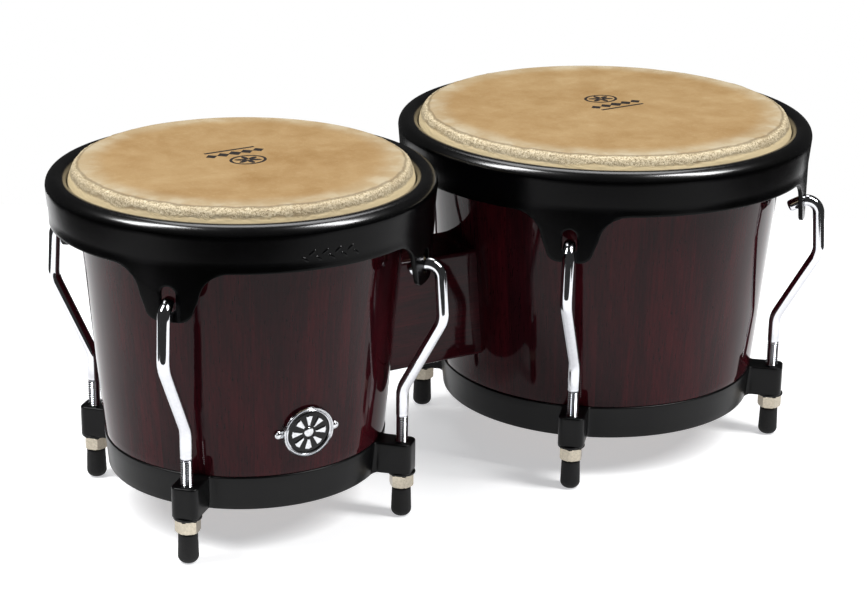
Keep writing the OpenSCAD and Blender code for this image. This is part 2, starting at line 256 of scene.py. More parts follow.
def placed(ob, body, slot, *nodes):
    """ob rides on body and stands for the CAD nodes, which are hidden. slot is not used."""
    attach(ob, body)
    if nodes:
        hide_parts(*nodes)
    return ob


# ------------------------------------------------------------------ material helpers
class Graph:
    """A Principled material and short calls that build its nodes."""

    def __init__(self, name, **sockets):
        self.mat = bpy.data.materials.new(name)
        self.mat.use_nodes = True
        self.tree = self.mat.node_tree
        self.bsdf = self.tree.nodes["Principled BSDF"]
        for key, value in sockets.items():
            self.bsdf.inputs[key.replace("_", " ")].default_value = value
        coord = self.tree.nodes.new("ShaderNodeTexCoord")
        self.mm = self.vector("SCALE", coord.outputs["Object"], scale=1000.0)

    def _set(self, socket, value):
        if isinstance(value, bpy.types.NodeSocket):
            self.tree.links.new(value, socket)
        else:
            socket.default_value = value

    def math(self, op, a, b=0.0):
        n = self.tree.nodes.new("ShaderNodeMath")
        n.operation = op
        for socket, value in zip(n.inputs, (a, b)):
            self._set(socket, value)
        return n.outputs[0]

    def vector(self, op, a, b=(0, 0, 0), scale=None):
        n = self.tree.nodes.new("ShaderNodeVectorMath")
        n.operation = op
        self._set(n.inputs[0], a)
        if op != "SCALE":
            self._set(n.inputs[1], b)
        if scale is not None:
            self._set(n.inputs["Scale"], scale)
        return n.outputs["Value"] if op == "LENGTH" else n.outputs["Vector"]

    def split(self, v):
        n = self.tree.nodes.new("ShaderNodeSeparateXYZ")
        self._set(n.inputs[0], v)
        return n.outputs[0], n.outputs[1], n.outputs[2]

    def join(self, x, y, z):
        n = self.tree.nodes.new("ShaderNodeCombineXYZ")
        for socket, value in zip(n.inputs, (x, y, z)):
            self._set(socket, value)
        return n.outputs[0]

    def noise(self, v, scale, detail=4.0, rough=0.55, distortion=0.0):
        n = self.tree.nodes.new("ShaderNodeTexNoise")
        self._set(n.inputs["Vector"], v)
        n.inputs["Scale"].default_value = scale
        n.inputs["Detail"].default_value = detail
        n.inputs["Roughness"].default_value = rough
        n.inputs["Distortion"].default_value = distortion
        return n.outputs["Fac"]

    def ramp(self, fac, *stops):
        n = self.tree.nodes.new("ShaderNodeValToRGB")
        self._set(n.inputs[0], fac)
        elements = n.color_ramp.elements
        while len(elements) < len(stops):
            elements.new(0.5)
        for e, (pos, col) in zip(elements, stops):
            e.position = pos
            e.color = (*col, 1.0)
        return n.outputs[0]

    def step(self, value, low, high):
        """0 below low, 1 above high, smooth between."""
        n = self.tree.nodes.new("ShaderNodeMapRange")
        n.interpolation_type = "SMOOTHSTEP"
        self._set(n.inputs["Value"], value)
        n.inputs["From Min"].default_value = low
        n.inputs["From Max"].default_value = high
        return n.outputs["Result"]

    def span(self, value, low, high):
        """Straight map of 0..1 to low..high."""
        n = self.tree.nodes.new("ShaderNodeMapRange")
        self._set(n.inputs["Value"], value)
        n.inputs["To Min"].default_value = low
        n.inputs["To Max"].default_value = high
        return n.outputs["Result"]

    def mix(self, fac, a, b):
        n = self.tree.nodes.new("ShaderNodeMix")
        n.data_type = "RGBA"
        self._set(n.inputs["Factor"], fac)
        col = [s for s in n.inputs if s.type == "RGBA"]
        for socket, value in zip(col, (a, b)):
            self._set(socket, value if isinstance(value, bpy.types.NodeSocket) else (*value, 1.0))
        return [s for s in n.outputs if s.type == "RGBA"][0]

    def bump(self, height, distance, strength=1.0):
        n = self.tree.nodes.new("ShaderNodeBump")
        self._set(n.inputs["Height"], height)
        n.inputs["Distance"].default_value = distance * MM
        n.inputs["Strength"].default_value = strength
        self.tree.links.new(n.outputs["Normal"], self.bsdf.inputs["Normal"])

    def out(self, socket, value):
        self._set(self.bsdf.inputs[socket], value)


def srgb(r, g, b):
    """Linear colour of an sRGB triple in 0..255."""
    def linear(c):
        c /= 255
        return c / 12.92 if c <= 0.04045 else ((c + 0.055) / 1.055) ** 2.4
    return tuple(linear(c) for c in (r, g, b))


# ------------------------------------------------------------------ materials
STAVE_W = 47.0
LACQUER_ROUGH, RAW_ROUGH = 0.055, 0.6


def powder_coat(name, level, rough, seed, dark, pale, peel_depth=0.25, top_level=None):
    """Black powder coat with fine orange peel. Its specular level rises to top_level where it faces up."""
    g = Graph(name, Specular_IOR_Level=level)
    v = g.vector("ADD", g.mm, (seed * 31.0, seed * 17.0, seed * 5.0))
    cloud = g.noise(v, 0.03, 3.0)
    peel = g.noise(v, 1.1, 2.0, 0.45)
    g.out("Base Color", g.mix(g.step(cloud, 0.35, 0.7), srgb(*dark), srgb(*pale)))
    g.out("Roughness", g.span(g.noise(v, 0.12, 4.0), rough - 0.03, rough + 0.04))
    if top_level is not None:
        geometry = g.tree.nodes.new("ShaderNodeNewGeometry")
        upward = g.split(geometry.outputs["Normal"])[2]
        g.out("Specular IOR Level", g.span(g.step(upward, 0.05, 0.4), level, top_level))
    g.bump(peel, 0.035, peel_depth)
    return g.mat


def lacquered_wood(name, drum=None):
    """Dark red-brown stained wood under clear lacquer. A shell's grain runs up it, and its inside is raw."""
    g = Graph(name, Specular_IOR_Level=0.135, Roughness=LACQUER_ROUGH)
    x, y, z = g.split(g.mm)
    if drum:
        lx = g.math("SUBTRACT", x, drum.x)
        around = g.math("MULTIPLY", g.math("ARCTAN2", y, lx), drum.shell_r)
        radius = g.vector("LENGTH", g.join(lx, y, 0.0))
        along = z
    else:
        around = g.math("ADD", y, z)
        along = x
    stave = g.math("FLOOR", g.math("DIVIDE", around, STAVE_W))
    shift = g.math("MULTIPLY", stave, 37.7)
    fine = g.join(around, shift, g.math("MULTIPLY", along, 0.05))
    broad = g.join(around, shift, g.math("MULTIPLY", along, 0.16))
    pores = g.join(around, shift, g.math("MULTIPLY", along, 0.09))
    grain = g.noise(fine, 0.9, 6.0, 0.62, 0.4)
    patch = g.noise(broad, 0.055, 4.0, 0.6, 0.9)
    pore = g.noise(pores, 2.2, 2.0, 0.5)
    tone = g.ramp(
        g.math("ADD", g.math("MULTIPLY", grain, 0.45), g.math("MULTIPLY", patch, 0.55)),
        (0.30, srgb(24, 8, 11)),
        (0.46, srgb(38, 10, 15)),
        (0.60, srgb(56, 12, 18)),
        (0.74, srgb(70, 15, 20)),
    )
    tone = g.mix(g.step(pore, 0.62, 0.72), tone, srgb(10, 4, 5))
    if drum:
        mid = g.math("ADD", g.math("MULTIPLY", z, TAPER),
                     drum.shell_r - TAPER * RING_Z1 - WALL_T * 0.5)
        inside = g.math("LESS_THAN", radius, mid)
        raw = g.ramp(
            grain,
            (0.3, srgb(120, 82, 52)),
            (0.6, srgb(158, 116, 76)),
            (0.8, srgb(176, 134, 92)),
        )
        tone = g.mix(inside, tone, raw)
        g.out("Roughness", g.span(inside, LACQUER_ROUGH, RAW_ROUGH))
    g.out("Base Color", tone)
    ripple = g.noise(g.mm, 0.02, 2.0)
    g.bump(g.math("ADD", ripple, g.math("MULTIPLY", grain, 0.02)), 0.5, 0.12)
    return g.mat


def rawhide(name, drum):
    """Golden rawhide: mottled skin, paler shoulder, the fibrous trimmed edge above the rim, and a painted
    shade in the crease just inside it.
    """
    g = Graph(name, Specular_IOR_Level=0.32)
    seed = 7.0 if drum is SMALL else 23.0
    lx, ly, lz = g.split(g.vector("SUBTRACT", g.mm, (drum.x, 0, 0)))
    r = g.vector("LENGTH", g.join(lx, ly, 0.0))
    v = g.join(lx, ly, g.math("ADD", lz, seed * 40))
    cloud = g.noise(v, 0.016, 5.0, 0.6, 0.5)
    spots = g.noise(v, 0.065, 6.0, 0.62, 0.2)
    fine = g.noise(v, 0.5, 5.0, 0.7)
    skin = g.ramp(
        g.math("ADD", g.math("MULTIPLY", cloud, 0.6), g.math("MULTIPLY", spots, 0.4)),
        (0.30, srgb(139, 107, 63)),
        (0.46, srgb(151, 121, 79)),
        (0.58, srgb(160, 132, 91)),
        (0.72, srgb(174, 151, 113)),
    )
    skin = g.mix(g.math("MULTIPLY", g.step(fine, 0.5, 0.8), 0.35), skin, srgb(179, 158, 122))
    edge = drum.collar_r - 11.6
    wander = g.math("MULTIPLY", g.math("SUBTRACT", g.noise(v, 0.035, 3.0), 0.5), 7.0)
    rw = g.math("ADD", r, wander)
    shoulder = g.step(rw, edge - 9.0, edge + 6.0)
    cream = g.mix(g.step(spots, 0.4, 0.65), srgb(172, 156, 126), srgb(189, 182, 160))
    col = g.mix(g.math("MULTIPLY", shoulder, 0.6), skin, cream)
    fleck = g.noise(v, 0.9, 6.0, 0.75)
    hair = g.noise(g.vector("MULTIPLY", v, (1.0, 1.0, 2.4)), 2.6, 4.0, 0.7)
    wob = g.math("MULTIPLY", g.math("SUBTRACT", g.noise(v, 0.11, 4.0, 0.6), 0.5), 3.0)
    rb = g.math("ADD", r, wob)
    band_in = g.step(rb, drum.collar_r - 5.6, drum.collar_r - 3.9)
    band_out = g.step(rb, drum.collar_r - 1.7, drum.collar_r - 1.1)
    band = g.math("MULTIPLY", band_in, g.math("SUBTRACT", 1.0, band_out))
    fibre = g.ramp(
        g.math("ADD", g.math("MULTIPLY", fleck, 0.55), g.math("MULTIPLY", hair, 0.45)),
        (0.41, srgb(82, 68, 46)),
        (0.47, srgb(182, 164, 130)),
        (0.54, srgb(226, 211, 178)),
        (0.68, srgb(242, 234, 212)),
    )
    amount = g.span(g.step(g.noise(v, 0.03, 2.0), 0.3, 0.6), 0.6, 1.0)
    col = g.mix(g.math("MULTIPLY", band, amount), col, fibre)
    # Painted shade: a darker brown ring laid in the crease just inside the fibrous band, where the lifted
    # band shades the skin.
    crease_shade_in = g.step(rb, drum.collar_r - 6.2, drum.collar_r - 5.2)
    crease_shade_out = g.step(rb, drum.collar_r - 4.9, drum.collar_r - 3.8)
    crease_shade = g.math("MULTIPLY", crease_shade_in, g.math("SUBTRACT", 1.0, crease_shade_out))
    col = g.mix(g.math("MULTIPLY", crease_shade, 0.55), col, srgb(92, 78, 54))
    lip = g.step(r, drum.collar_r - 1.5, drum.collar_r - 1.0)
    col = g.mix(lip, col, srgb(226, 206, 164))
    g.out("Base Color", col)
    g.out("Roughness", g.span(spots, 0.42, 0.62))
    height = g.math("ADD", g.math("MULTIPLY", fine, 0.35),
                    g.math("MULTIPLY", g.math("MULTIPLY", band, fleck), 2.2))
    g.bump(height, 0.35, 0.5)
    return g.mat


def metal(name, colour, rough, spread, scale=0.6, dark=None):
    """Bare or plated metal: a slight cloudiness of tone and of gloss."""
    g = Graph(name, Metallic=1.0)
    cloud = g.noise(g.mm, scale, 4.0, 0.6)
    low = dark or tuple(c * 0.8 for c in colour)
    g.out("Base Color", g.mix(g.step(cloud, 0.3, 0.7), low, colour))
    g.out("Roughness", g.span(g.noise(g.mm, scale * 2.3, 3.0), rough - spread, rough + spread))
    g.bump(cloud, 0.02, 0.12)
    return g.mat


def rubber(name):
    g = Graph(name, Specular_IOR_Level=0.3)
    grainy = g.noise(g.mm, 2.4, 4.0, 0.7)
    g.out("Base Color", g.mix(g.step(grainy, 0.3, 0.75), srgb(12, 12, 13), srgb(22, 22, 22)))
    g.out("Roughness", g.span(g.noise(g.mm, 0.5, 3.0), 0.6, 0.78))
    g.bump(grainy, 0.06, 0.3)
    return g.mat


def enamel(name):
    g = Graph(name, Specular_IOR_Level=0.22)
    cloud = g.noise(g.mm, 0.5, 3.0)
    g.out("Base Color", g.mix(cloud, srgb(2, 2, 3), srgb(5, 5, 6)))
    g.out("Roughness", g.span(g.noise(g.mm, 0.9, 3.0), 0.1, 0.2))
    g.bump(cloud, 0.04, 0.15)
    return g.mat


def ink(name):
    g = Graph(name, Specular_IOR_Level=0.3)
    worn = g.noise(g.mm, 1.4, 5.0, 0.7)
    g.out("Base Color", g.mix(g.step(worn, 0.52, 0.8), srgb(30, 25, 24), srgb(70, 56, 44)))
    g.out("Roughness", g.span(worn, 0.45, 0.65))
    g.bump(worn, 0.02, 0.2)
    return g.mat


MAT_RIM = powder_coat("rim_powder_coat", 0.09, 0.21, 1, (1, 1, 1), (2, 2, 3),
                      peel_depth=0.12, top_level=0.9)
MAT_RING = powder_coat("ring_powder_coat", 0.18, 0.32, 2, (3, 3, 4), (7, 7, 7))
MAT_WASHER = powder_coat("washer_black_oxide", 0.3, 0.4, 3, (4, 4, 5), (9, 9, 9))
MAT_SHELL = {d.name: lacquered_wood("lacquer_" + d.name, d) for d in DRUMS}
MAT_BLOCK = lacquered_wood("lacquer_block")
MAT_HIDE = {d.name: rawhide("rawhide_" + d.name, d) for d in DRUMS}
MAT_CHROME = metal("rod_chrome", srgb(208, 209, 213), 0.06, 0.02, dark=srgb(201, 202, 206))
MAT_NUT = metal("nut_nickel", srgb(190, 181, 164), 0.16, 0.05, 0.8)
MAT_STEEL = metal("zinc_steel", srgb(176, 178, 182), 0.34, 0.08, 0.35)
MAT_HOOP = metal("hoop_steel", srgb(158, 160, 163), 0.38, 0.08, 0.5)
MAT_BADGE = metal("badge_chrome", srgb(208, 209, 212), 0.16, 0.05)
MAT_RUBBER = rubber("foot_rubber")
MAT_ENAMEL = enamel("badge_enamel_black")
MAT_INK = ink("print_ink")


# ------------------------------------------------------------------ shells, heads
def build_shell(d):
    """Tapered wooden shell: rebated foot inside the ring, and a rounded bearing edge at the top."""
    top = HEAD_Z - SKIN_T - SEAT_GAP
    foot = RING_Z0 + FLANGE_T + SEAT_GAP
    z1 = RING_Z1 + SEAT_GAP
    rebate = d.shell_r - RING_WALL_T - SEAT_GAP
    c = d.bearing_c
    corners = [
        (d.shell_at(foot) - WALL_T, foot, 0.6),
        (rebate, foot, 0.4),
        (rebate, z1, 0.2),
        (d.shell_at(z1), z1, 0.5),
        (d.shell_at(60), 60, 0),
        (d.shell_at(100) - WALL_T, 100, 0),
    ]
    low = rounded(corners)[:-2]
    side = [(d.shell_at(z), z) for z in np.linspace(z1 + 4, RELIEF_Z, 24)]
    inner = [(d.shell_at(z) - WALL_T, z) for z in np.linspace(top - 5, foot + 4, 12)]
    profile = low + side + arc(c, SHOULDER_R, 0, 90, 10) + [(c[0] - 1, top)] + inner
    ob = make(d.name + "_shell_wood", revolved(profile, 224, (d.x, 0)), MAT_SHELL[d.name])
    return placed(ob, "root", "shell_lacquer", d.name + "_shell")


def build_head(d):
    """Rawhide: flat skin, shoulder, uneven collar with a ragged band, and the lap round the flesh hoop."""
    c = d.bearing_c
    over = SHOULDER_R + SEAT_GAP
    hoop = (d.collar_r + HOOP_OFFSET, HOOP_Z)
    flat = [(r, HEAD_Z) for r in np.linspace(0, c[0] - 2, 22)]
    shoulder = arc(c, over + SKIN_T, 90, 25, 14)
    end = (d.collar_r, COLLAR_Z)
    start = shoulder[-1]
    collar = [(start[0] + (end[0] - start[0]) * t, start[1] + (end[1] - start[1]) * t)
              for t in np.linspace(0, 1, 13)][1:]
    tuck = [(d.collar_r, LIP_Z + 2), (d.collar_r, LIP_Z - 0.2)]
    lap = arc(hoop, LAP_R, 100, -180, 24)
    under = arc(c, over, 0, 90, 8)
    profile = flat + shoulder + collar + tuck + lap + under
    profile += [(c[0] * 0.5, c[1] + over), (0, c[1] + over)]
    n_flat, n_edge = len(flat), len(flat) + len(shoulder) + len(collar)
    segments = 420
    prof = np.array(profile)
    seed = 11.0 if d is SMALL else 47.0
    pts = np.empty((segments, len(prof), 3))
    slope = np.gradient(prof, axis=0)
    slow, fast = 0.055, 0.9
    for i in range(segments):
        a = 2 * math.pi * i / segments
        ca, sa = math.cos(a), math.sin(a)
        for j, (r, z) in enumerate(prof):
            dr = dz = 0.0
            if n_flat <= j < n_edge:
                into = (r - c[0]) / (d.collar_r - c[0])
                p = Vector((r * ca * slow, r * sa * slow, seed))
                wave = noise.noise(p) * 0.5
                q = Vector((r * ca * fast, r * sa * fast, z * fast + seed))
                ragged = noise.turbulence(q, 3, True)
                edge = d.collar_r - 4.4 + 1.6 * noise.noise(p * 3.1)
                band = min(max((r - edge) / 1.3, 0), 1)
                lift = (wave * into + band * (0.1 + 0.42 * ragged)) * min(1, (d.collar_r - r) / 1.0)
                length = math.hypot(*slope[j])
                dr, dz = -lift * slope[j][1] / length, lift * slope[j][0] / length
            pts[i, j] = (d.x + (r + dr) * ca, (r + dr) * sa, min(z + dz, HEAD_Z))
    ob = make(d.name + "_rawhide_head", grid(pts, True, True), MAT_HIDE[d.name], 60)
    return placed(ob, "root", "rawhide", d.name + "_head")


# ------------------------------------------------------------------ printed marks on the skins
def slab(outline, z0, z1):
    """Closed prism over a 2-D outline."""
    n = len(outline)
    pts = np.array([[(x, y, z0) for x, y in outline], [(x, y, z1) for x, y in outline]])
    verts, faces = grid(pts, False, True)
    faces += [tuple(range(n)), tuple(range(2 * n - 1, n - 1, -1))]
    return verts, faces


def ring_slab(outer, inner, z0, z1):
    """Closed band between two 2-D outlines of as many points."""
    loops = [[(x, y, z0) for x, y in inner], [(x, y, z0) for x, y in outer],
             [(x, y, z1) for x, y in outer], [(x, y, z1) for x, y in inner]]
    return grid(np.array(loops), True, True)


def ellipse(cx, cy, rx, ry, n=64, turn=0.0):
    t = np.linspace(0, 2 * math.pi, n, endpoint=False)
    co, si = math.cos(turn), math.sin(turn)
    return [(cx + rx * math.cos(a) * co - ry * math.sin(a) * si,
             cy + rx * math.cos(a) * si + ry * math.sin(a) * co) for a in t]


def build_print(d, centre, turn_deg):
    """A generic stamp: a leaf rosette in an oval ring, with a row of lozenges on a bar."""
    z0, z1 = HEAD_Z - 0.1, HEAD_Z + 0.03
    parts = [ring_slab(ellipse(0, 8.5, 9.6, 8.0), ellipse(0, 8.5, 8.1, 6.5), z0, z1)]
    for i in range(6):
        a = math.radians(60 * i + 30)
        x, y = 4.0 * math.cos(a), 3.3 * math.sin(a)
        parts.append(slab(ellipse(x, 8.5 + y, 3.0, 1.35, 24, math.atan2(y, x)), z0, z1))
    for i, w in enumerate((3.2, 3.5, 3.8, 3.5, 3.2)):
        x = (i - 2) * 6.6
        parts.append(slab([(x - w, -5.2), (x, -5.2 - w), (x + w, -5.2), (x, -5.2 + w)], z0, z1))
    parts.append(slab([(-14, -10.4), (14, -10.4), (14, -12.2), (-14, -12.2)], z0, z1))
    verts, faces = joined(*parts)
    t = math.radians(turn_deg)
    co, si = math.cos(t), math.sin(t)
    x = verts[:, 0] * co - verts[:, 1] * si + d.x + centre[0]
    y = verts[:, 0] * si + verts[:, 1] * co + centre[1]
    ob = make(d.name + "_head_print", (np.stack([x, y, verts[:, 2]], 1), faces), MAT_INK)
    return placed(ob, "root", "rawhide")


# ------------------------------------------------------------------ rims
SLOT_C, SLOT_HALF, SLOT_STRAIGHT = 138.85, 3.9, 2.65
EAR_X = 22.0
FILLET_X, FILLET_Z, FILLET_R = 29.5, 138.2, 14.8
EAR_TIP_X, EAR_TIP_R = 5.5, 6.8
RIM_WELD = 2e-5
SKIRT_Z = 160.0


def ear_outline():
    """Lower edge of an ear as (x, z), from the left fillet round the foot to the right."""
    right = arc((FILLET_X, FILLET_Z), FILLET_R, 120.5, 172, 13)
    right += arc((EAR_TIP_X, EAR_Z + EAR_TIP_R), EAR_TIP_R, -10, -84, 9)
    right += [(3.0, EAR_Z - 0.08), (0.0, EAR_Z - 0.15)]
    left = [(-x, z) for x, z in right[:-1]]
    return left + right[::-1]


def slot_hit(c, s):
    """How far from the slot's centre its outline is in direction (c, s)."""
    h = SLOT_STRAIGHT
    if abs(c) > 1e-6 and abs(SLOT_HALF * s / c) <= h:
        return SLOT_HALF / abs(c)
    return abs(s) * h + math.sqrt((s * h) ** 2 - h * h + SLOT_HALF ** 2)


def lower_edge(x):
    """Height of the rim's lower edge beside an ear: the fillet, then the plain band."""
    if x < FILLET_X:
        return FILLET_Z + math.sqrt(FILLET_R ** 2 - (FILLET_X - x) ** 2)
    return BAND_Z


def build_rim(d):
    """Rolled top, leaning skirt and four slotted ears, as one surface that is then given its thickness."""
    roll_c = (d.rim_r - ROLL_R, RIM_TOP - ROLL_R)
    out_r = d.rim_r - RIM_LEAN
    upper = [(roll_c[0] - ROLL_R, z) for z in (LIP_Z, LIP_Z + 1.3)]
    upper += arc(roll_c, ROLL_R, 180, 0, 28)
    z_roll = roll_c[1]
    for t in np.linspace(0, 1, 9)[1:]:
        z = z_roll + (LEAN_Z - z_roll) * t
        upper.append((out_r + RIM_LEAN * (z - LEAN_Z) / (z_roll - LEAN_Z), z))
    n_top, n_side, n_col, n_ring = 16, 3, 16, 7
    down = np.linspace(0, 1, n_side + 1)
    xs = np.linspace(-EAR_X, EAR_X, n_top + 1)
    phi1 = math.asin(EAR_X / out_r)
    quarter = math.pi / 4
    side_phi = phi1 + (quarter - phi1) * np.linspace(0, 1, n_col + 1)
    parts = []
    for k in RODS:
        mid = d.ear_angle(k)

        def at(phi, z, r=out_r):
            return (d.x + r * math.cos(mid + phi), r * math.sin(mid + phi), z)

        ear_phi = [math.asin(x / out_r) for x in xs]
        phis = np.concatenate([-side_phi[::-1][:-1], ear_phi, side_phi[1:]])
        parts.append(grid([[at(p, z, r) for r, z in upper] for p in phis]))
        for side in (-1, 1):
            cols = []
            for p in side_phi:
                low = lower_edge(out_r * math.sin(p))
                cols.append([at(side * p, LEAN_Z + (low - LEAN_Z) * t) for t in down])
            parts.append(grid(cols))
        low = lower_edge(EAR_X)
        outline = ear_outline()
        outline[0], outline[-1] = (-EAR_X, low), (EAR_X, low)
        left = [(-EAR_X, LEAN_Z + (low - LEAN_Z) * t) for t in down]
        loop = [(x, LEAN_Z) for x in xs[::-1]][:-1] + left[:-1] + outline[:-1]
        loop += [(EAR_X, z) for _, z in left[::-1]][:-1]
        rays = []
        for x, z in loop:
            dx, dz = x, z - SLOT_C
            length = math.hypot(dx, dz)
            hit = slot_hit(dx / length, dz / length) / length
            row = []
            for t in np.linspace(0, 1, n_ring + 1):
                s = hit + (1 - hit) * (0.35 * t * t + 0.65 * t)
                px, pz = dx * s, SLOT_C + dz * s
                row.append(at(math.asin(px / out_r), pz))
            rays.append(row)
        parts.append(grid(rays, True, False))
    ob = make(d.name + "_rim_shell", joined(*parts), MAT_RIM, 40, RIM_WELD)
    me = ob.data
    skirt = [p for p in me.polygons if p.center.z < SKIRT_Z * MM]
    facing = [p.normal.x * (p.center.x - d.x * MM) + p.normal.y * p.center.y for p in skirt]
    if sum(1 if f > 0 else -1 for f in facing) < 0:
        me.flip_normals()
    m = ob.modifiers.new("solid", "SOLIDIFY")
    m.thickness = RIM_T * MM
    m.offset = -1
    m.use_even_offset = True
    apply_modifiers(ob)
    bevel(ob, 0.55, 3, 50)
    shade(ob, 40)
    return ob


def build_ornament():
    """Raised wave of leaves on the front of the small rim."""
    d = SMALL
    parts = []
    a0, a1 = math.radians(-99), math.radians(-83)
    n = 9
    for i in range(n):
        t = i / (n - 1)
        a = a0 + (a1 - a0) * t
        z = 160.2 + (1.5 if i % 2 else -1.5)
        tilt = math.radians(38 if i % 2 else -38)
        rows = []
        for u in np.linspace(0, math.pi, 9):
            ring = []
            for v in np.linspace(0, 2 * math.pi, 20, endpoint=False):
                lx = 2.2 * math.cos(u)
                ly = 0.8 * math.sin(u) * math.cos(v)
                lh = 0.42 * math.sin(u) * math.sin(v)
                sx = lx * math.cos(tilt) - ly * math.sin(tilt)
                sz = lx * math.sin(tilt) + ly * math.cos(tilt)
                zz = z + sz
                s = max(0, (zz - LEAN_Z) / (RIM_TOP - ROLL_R - LEAN_Z))
                r = d.rim_r - RIM_LEAN + RIM_LEAN * s + lh - 0.05
                ang = a + sx / r
                ring.append((d.x + r * math.cos(ang), r * math.sin(ang), zz))
            rows.append(ring)
        parts.append(grid(rows, False, True))
    return make("small_rim_ornament", joined(*parts), MAT_RIM, 60)


# ------------------------------------------------------------------ bottom rings
def ring_outline(d):
    """Plan of a bottom ring with its four bosses: (x, y, normal x, normal y, boss share) in drum axes."""
    r = d.shell_r + 0.5
    half, reach, corner, fil = 6.9, 6.1, 3.5, 1.6
    front = d.lug_r + reach
    fx = math.sqrt((r + fil) ** 2 - (half + fil) ** 2)
    touch = math.atan2(half + fil, fx)
    one = []
    for t in np.linspace(math.pi / 4, touch, 26):
        one.append((r * math.cos(t), r * math.sin(t), math.cos(t), math.sin(t), 0.0))
    c = (fx, half + fil)
    base = math.atan2(-c[1], -c[0])
    for j, t in enumerate(np.linspace(base, -math.pi / 2, 7)[1:]):
        n = (-math.cos(t), -math.sin(t))
        one.append((c[0] + fil * math.cos(t), c[1] + fil * math.sin(t), *n, (j + 1) / 6))
    for x in np.linspace(fx + 1.2, front - corner, 6)[:-1]:
        one.append((x, half, 0.0, 1.0, 1.0))
    for t in np.linspace(math.pi / 2, 0, 8):
        one.append((front - corner + corner * math.cos(t), half - corner + corner * math.sin(t),
                    math.cos(t), math.sin(t), 1.0))
    one.append((front, 1.2, 1.0, 0.0, 1.0))
    full = [(x, -y, nx, -ny, w) for x, y, nx, ny, w in one]
    full = full + one[::-1][:-1]
    out = []
    for k in RODS:
        a = d.lug_angle(k)
        co, si = math.cos(a), math.sin(a)
        for x, y, nx, ny, w in full[1:]:
            out.append((x * co - y * si, x * si + y * co, nx * co - ny * si, nx * si + ny * co, w))
    return out


def build_ring(d):
    """Black ring round the shell's foot, with an inner flange and four bored bosses."""
    z0, z1 = RING_Z0, RING_Z1
    flange = z0 + FLANGE_T
    seat, inner = d.shell_r - RING_WALL_T, d.shell_r - FLANGE_REACH
    rb, rt = 0.7, 0.9
    edge_r = d.shell_r - 4.0
    quarter = [math.radians(t) for t in (0, 22.5, 45, 67.5, 90)]
    cols = []
    for x, y, nx, ny, w in ring_outline(d):
        a = math.atan2(y, x)
        low = z0 + (BOSS_Z0 - z0) * w
        col = [((inner + 0.5) * math.cos(a), (inner + 0.5) * math.sin(a), z0)]

        def wall(inset, z):
            lean = (1 - w) * 1.7 * max(0, 1 - (z - z0) / (z1 - z0))
            return (x - nx * (inset + lean), y - ny * (inset + lean), z)

        br = math.hypot(*wall(rb, low)[:2])
        for rr in (edge_r - 2, edge_r):
            col.append((rr * math.cos(a), rr * math.sin(a), z0))
        for s in (0.35, 0.8):
            rr = edge_r + (br - edge_r) * s
            t = min(1, max(0, (rr - edge_r) / 2.5))
            col.append((rr * math.cos(a), rr * math.sin(a), z0 + (low - z0) * t))
        for q in quarter:
            col.append(wall(rb * (1 - math.sin(q)), low + rb * (1 - math.cos(q))))
        for z in np.linspace(low + rb, z1 - rt, 5)[1:-1]:
            col.append(wall(0, z))
        for q in quarter:
            col.append(wall(rt * (1 - math.cos(q)), z1 - rt + rt * math.sin(q)))
        for rr, z in ((seat + 0.2, z1), (seat, z1 - 0.2), (seat, flange), (inner + 0.5, flange),
                      (inner, flange - 0.5), (inner, z0 + 0.5)):
            col.append((rr * math.cos(a), rr * math.sin(a), z))
        cols.append(col)
    pts = np.array(cols)
    pts[..., 0] += d.x
    ob = make(d.name + "_ring_casting", grid(pts, True, True), MAT_RING, 38)
    bores = [rod_solid(d.lug(k) + (0, 0, z0 - 2), d.lug(k) + (0, 0, z1 + 2), CLEAR_R) for k in RODS]
    cut(ob, bores)
    shade(ob, 38)
    return placed(ob, "root", "black_powder_coat", d.name + "_bottom_ring")


# ------------------------------------------------------------------ rods, nuts, washers, feet
LOW_Z, HIGH_Z, ROD_REACH, ROD_TILT, BEND_R = 69.0, 108.5, 21.3, 4, 14.0
HOOK_Z, HOOK_R, HOOK_TURN, HOOK_TAIL = 131.1, 6.8, 118, 7.0
UPRIGHT_ROWS = 6


def rod_path():
    """Centre line of a rod as (out, height, tilt from vertical), and where its hook begins."""
    rise = HIGH_Z - LOW_Z
    lean, tilt = math.atan2(ROD_REACH, rise), math.radians(ROD_TILT)
    low_cut, high_cut = BEND_R * math.tan(lean / 2), BEND_R * math.tan((lean + tilt) / 2)
    slant = math.hypot(ROD_REACH, rise) - low_cut - high_cut
    path = [(0.0, z, 0.0) for z in np.arange(ROD_Z0, THREAD_Z1, PITCH / 10)]
    x, z, a = 0.0, THREAD_Z1, 0.0
    path.append((x, z, a))

    def straight(length, n):
        nonlocal x, z
        for i in range(1, n + 1):
            path.append((x + math.sin(a) * length * i / n, z + math.cos(a) * length * i / n, a))
        x, z = path[-1][:2]

    def bend(radius, turn, n):
        nonlocal x, z, a
        sign = 1 if turn > 0 else -1
        cx, cz = x + sign * radius * math.cos(a), z - sign * radius * math.sin(a)
        for i in range(1, n + 1):
            b = a + turn * i / n
            path.append((cx - sign * radius * math.cos(b), cz + sign * radius * math.sin(b), b))
        x, z, a = path[-1]

    straight(LOW_Z - low_cut - THREAD_Z1, 2)
    bend(BEND_R, lean, 10)
    straight(slant, 8)
    bend(BEND_R, -lean - tilt, 10)
    straight((HOOK_Z - HIGH_Z) / math.cos(tilt) - high_cut, UPRIGHT_ROWS)
    hook = len(path) - 1
    bend(HOOK_R, tilt - math.radians(HOOK_TURN), 26)
    straight(HOOK_TAIL - TIP_R, 4)
    return path, hook


